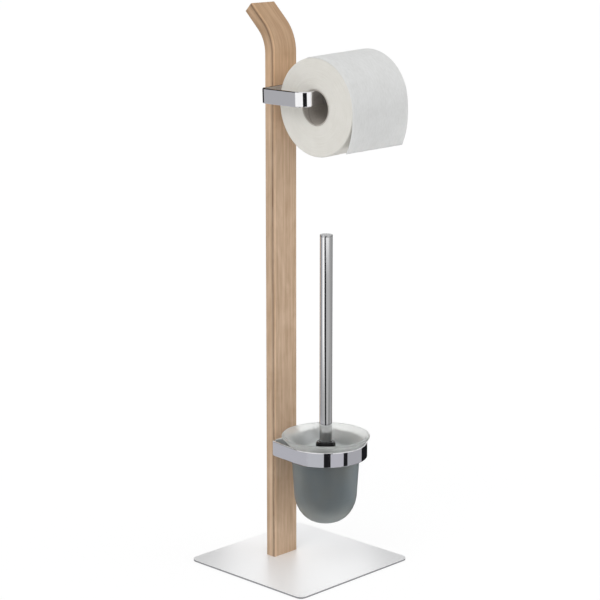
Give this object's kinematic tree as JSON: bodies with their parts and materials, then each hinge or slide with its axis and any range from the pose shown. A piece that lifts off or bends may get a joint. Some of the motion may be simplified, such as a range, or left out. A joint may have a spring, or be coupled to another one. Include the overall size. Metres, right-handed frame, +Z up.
{
  "type": "toilet butler stand",
  "caption": "Free-standing toilet butler: bent wood post on a square chrome plate, with a flat-bar arm for a paper roll and a loop that holds a frosted glass bowl and brush.",
  "frame": {"origin": "middle of the foam sheet's underside, on the floor under the centre of the base plate", "axes": "+Z up along the post; -Y to the front, where the bowl and the roll are; +X to the right, towards the arm's open end"},
  "size_m": [0.2, 0.2106, 0.7149],
  "materials": {
    "plate_chrome": "polished",
    "foam": "matte",
    "wood": "satin",
    "screw_steel": "satin",
    "bar_chrome": "polished",
    "frosted_glass": "matte",
    "handle_chrome": "polished",
    "black_plastic": "gloss",
    "bristle": "matte",
    "core_board": "matte",
    "tissue": "matte"
  },
  "bodies": {
    "stand": {"base_plate": "plate_chrome", "base_pad": "foam", "post": "wood", "post_screws": "screw_steel", "roll_arm": "bar_chrome", "arm_screws": "screw_steel", "bowl_loop": "bar_chrome", "spacer_left": "bar_chrome", "spacer_right": "bar_chrome", "loop_screws": "screw_steel"},
    "bowl": {"bowl": "frosted_glass"},
    "brush": {"brush_handle": "handle_chrome", "handle_cap": "handle_chrome", "handle_insert": "black_plastic", "brush_stud": "screw_steel", "brush_collar": "black_plastic", "brush_core": "black_plastic", "brush_bristles": "bristle"},
    "roll_carrier": {"roll_core": "core_board", "paper_sheet": "tissue"},
    "roll": {"paper_roll": "tissue"}
  },
  "joints": [
    {"name": "bowl_lift", "type": "slide", "parent": "stand", "child": "bowl", "axis": [0, 0, 1], "range_m": [0, 0.04]},
    {"name": "brush_lift", "type": "slide", "parent": "bowl", "child": "brush", "axis": [0, 0, 1], "range_m": [0, 0.05]},
    {"name": "roll_slide", "type": "slide", "parent": "stand", "child": "roll_carrier", "axis": [0.9994, 0, 0.0349], "range_m": [0, 0.115]},
    {"name": "roll_turn", "type": "hinge", "parent": "roll_carrier", "child": "roll", "pos_m": [-0.0226, -0.0485, 0.59554], "axis": [0.9994, 0, 0.0349], "continuous": true}
  ]
}
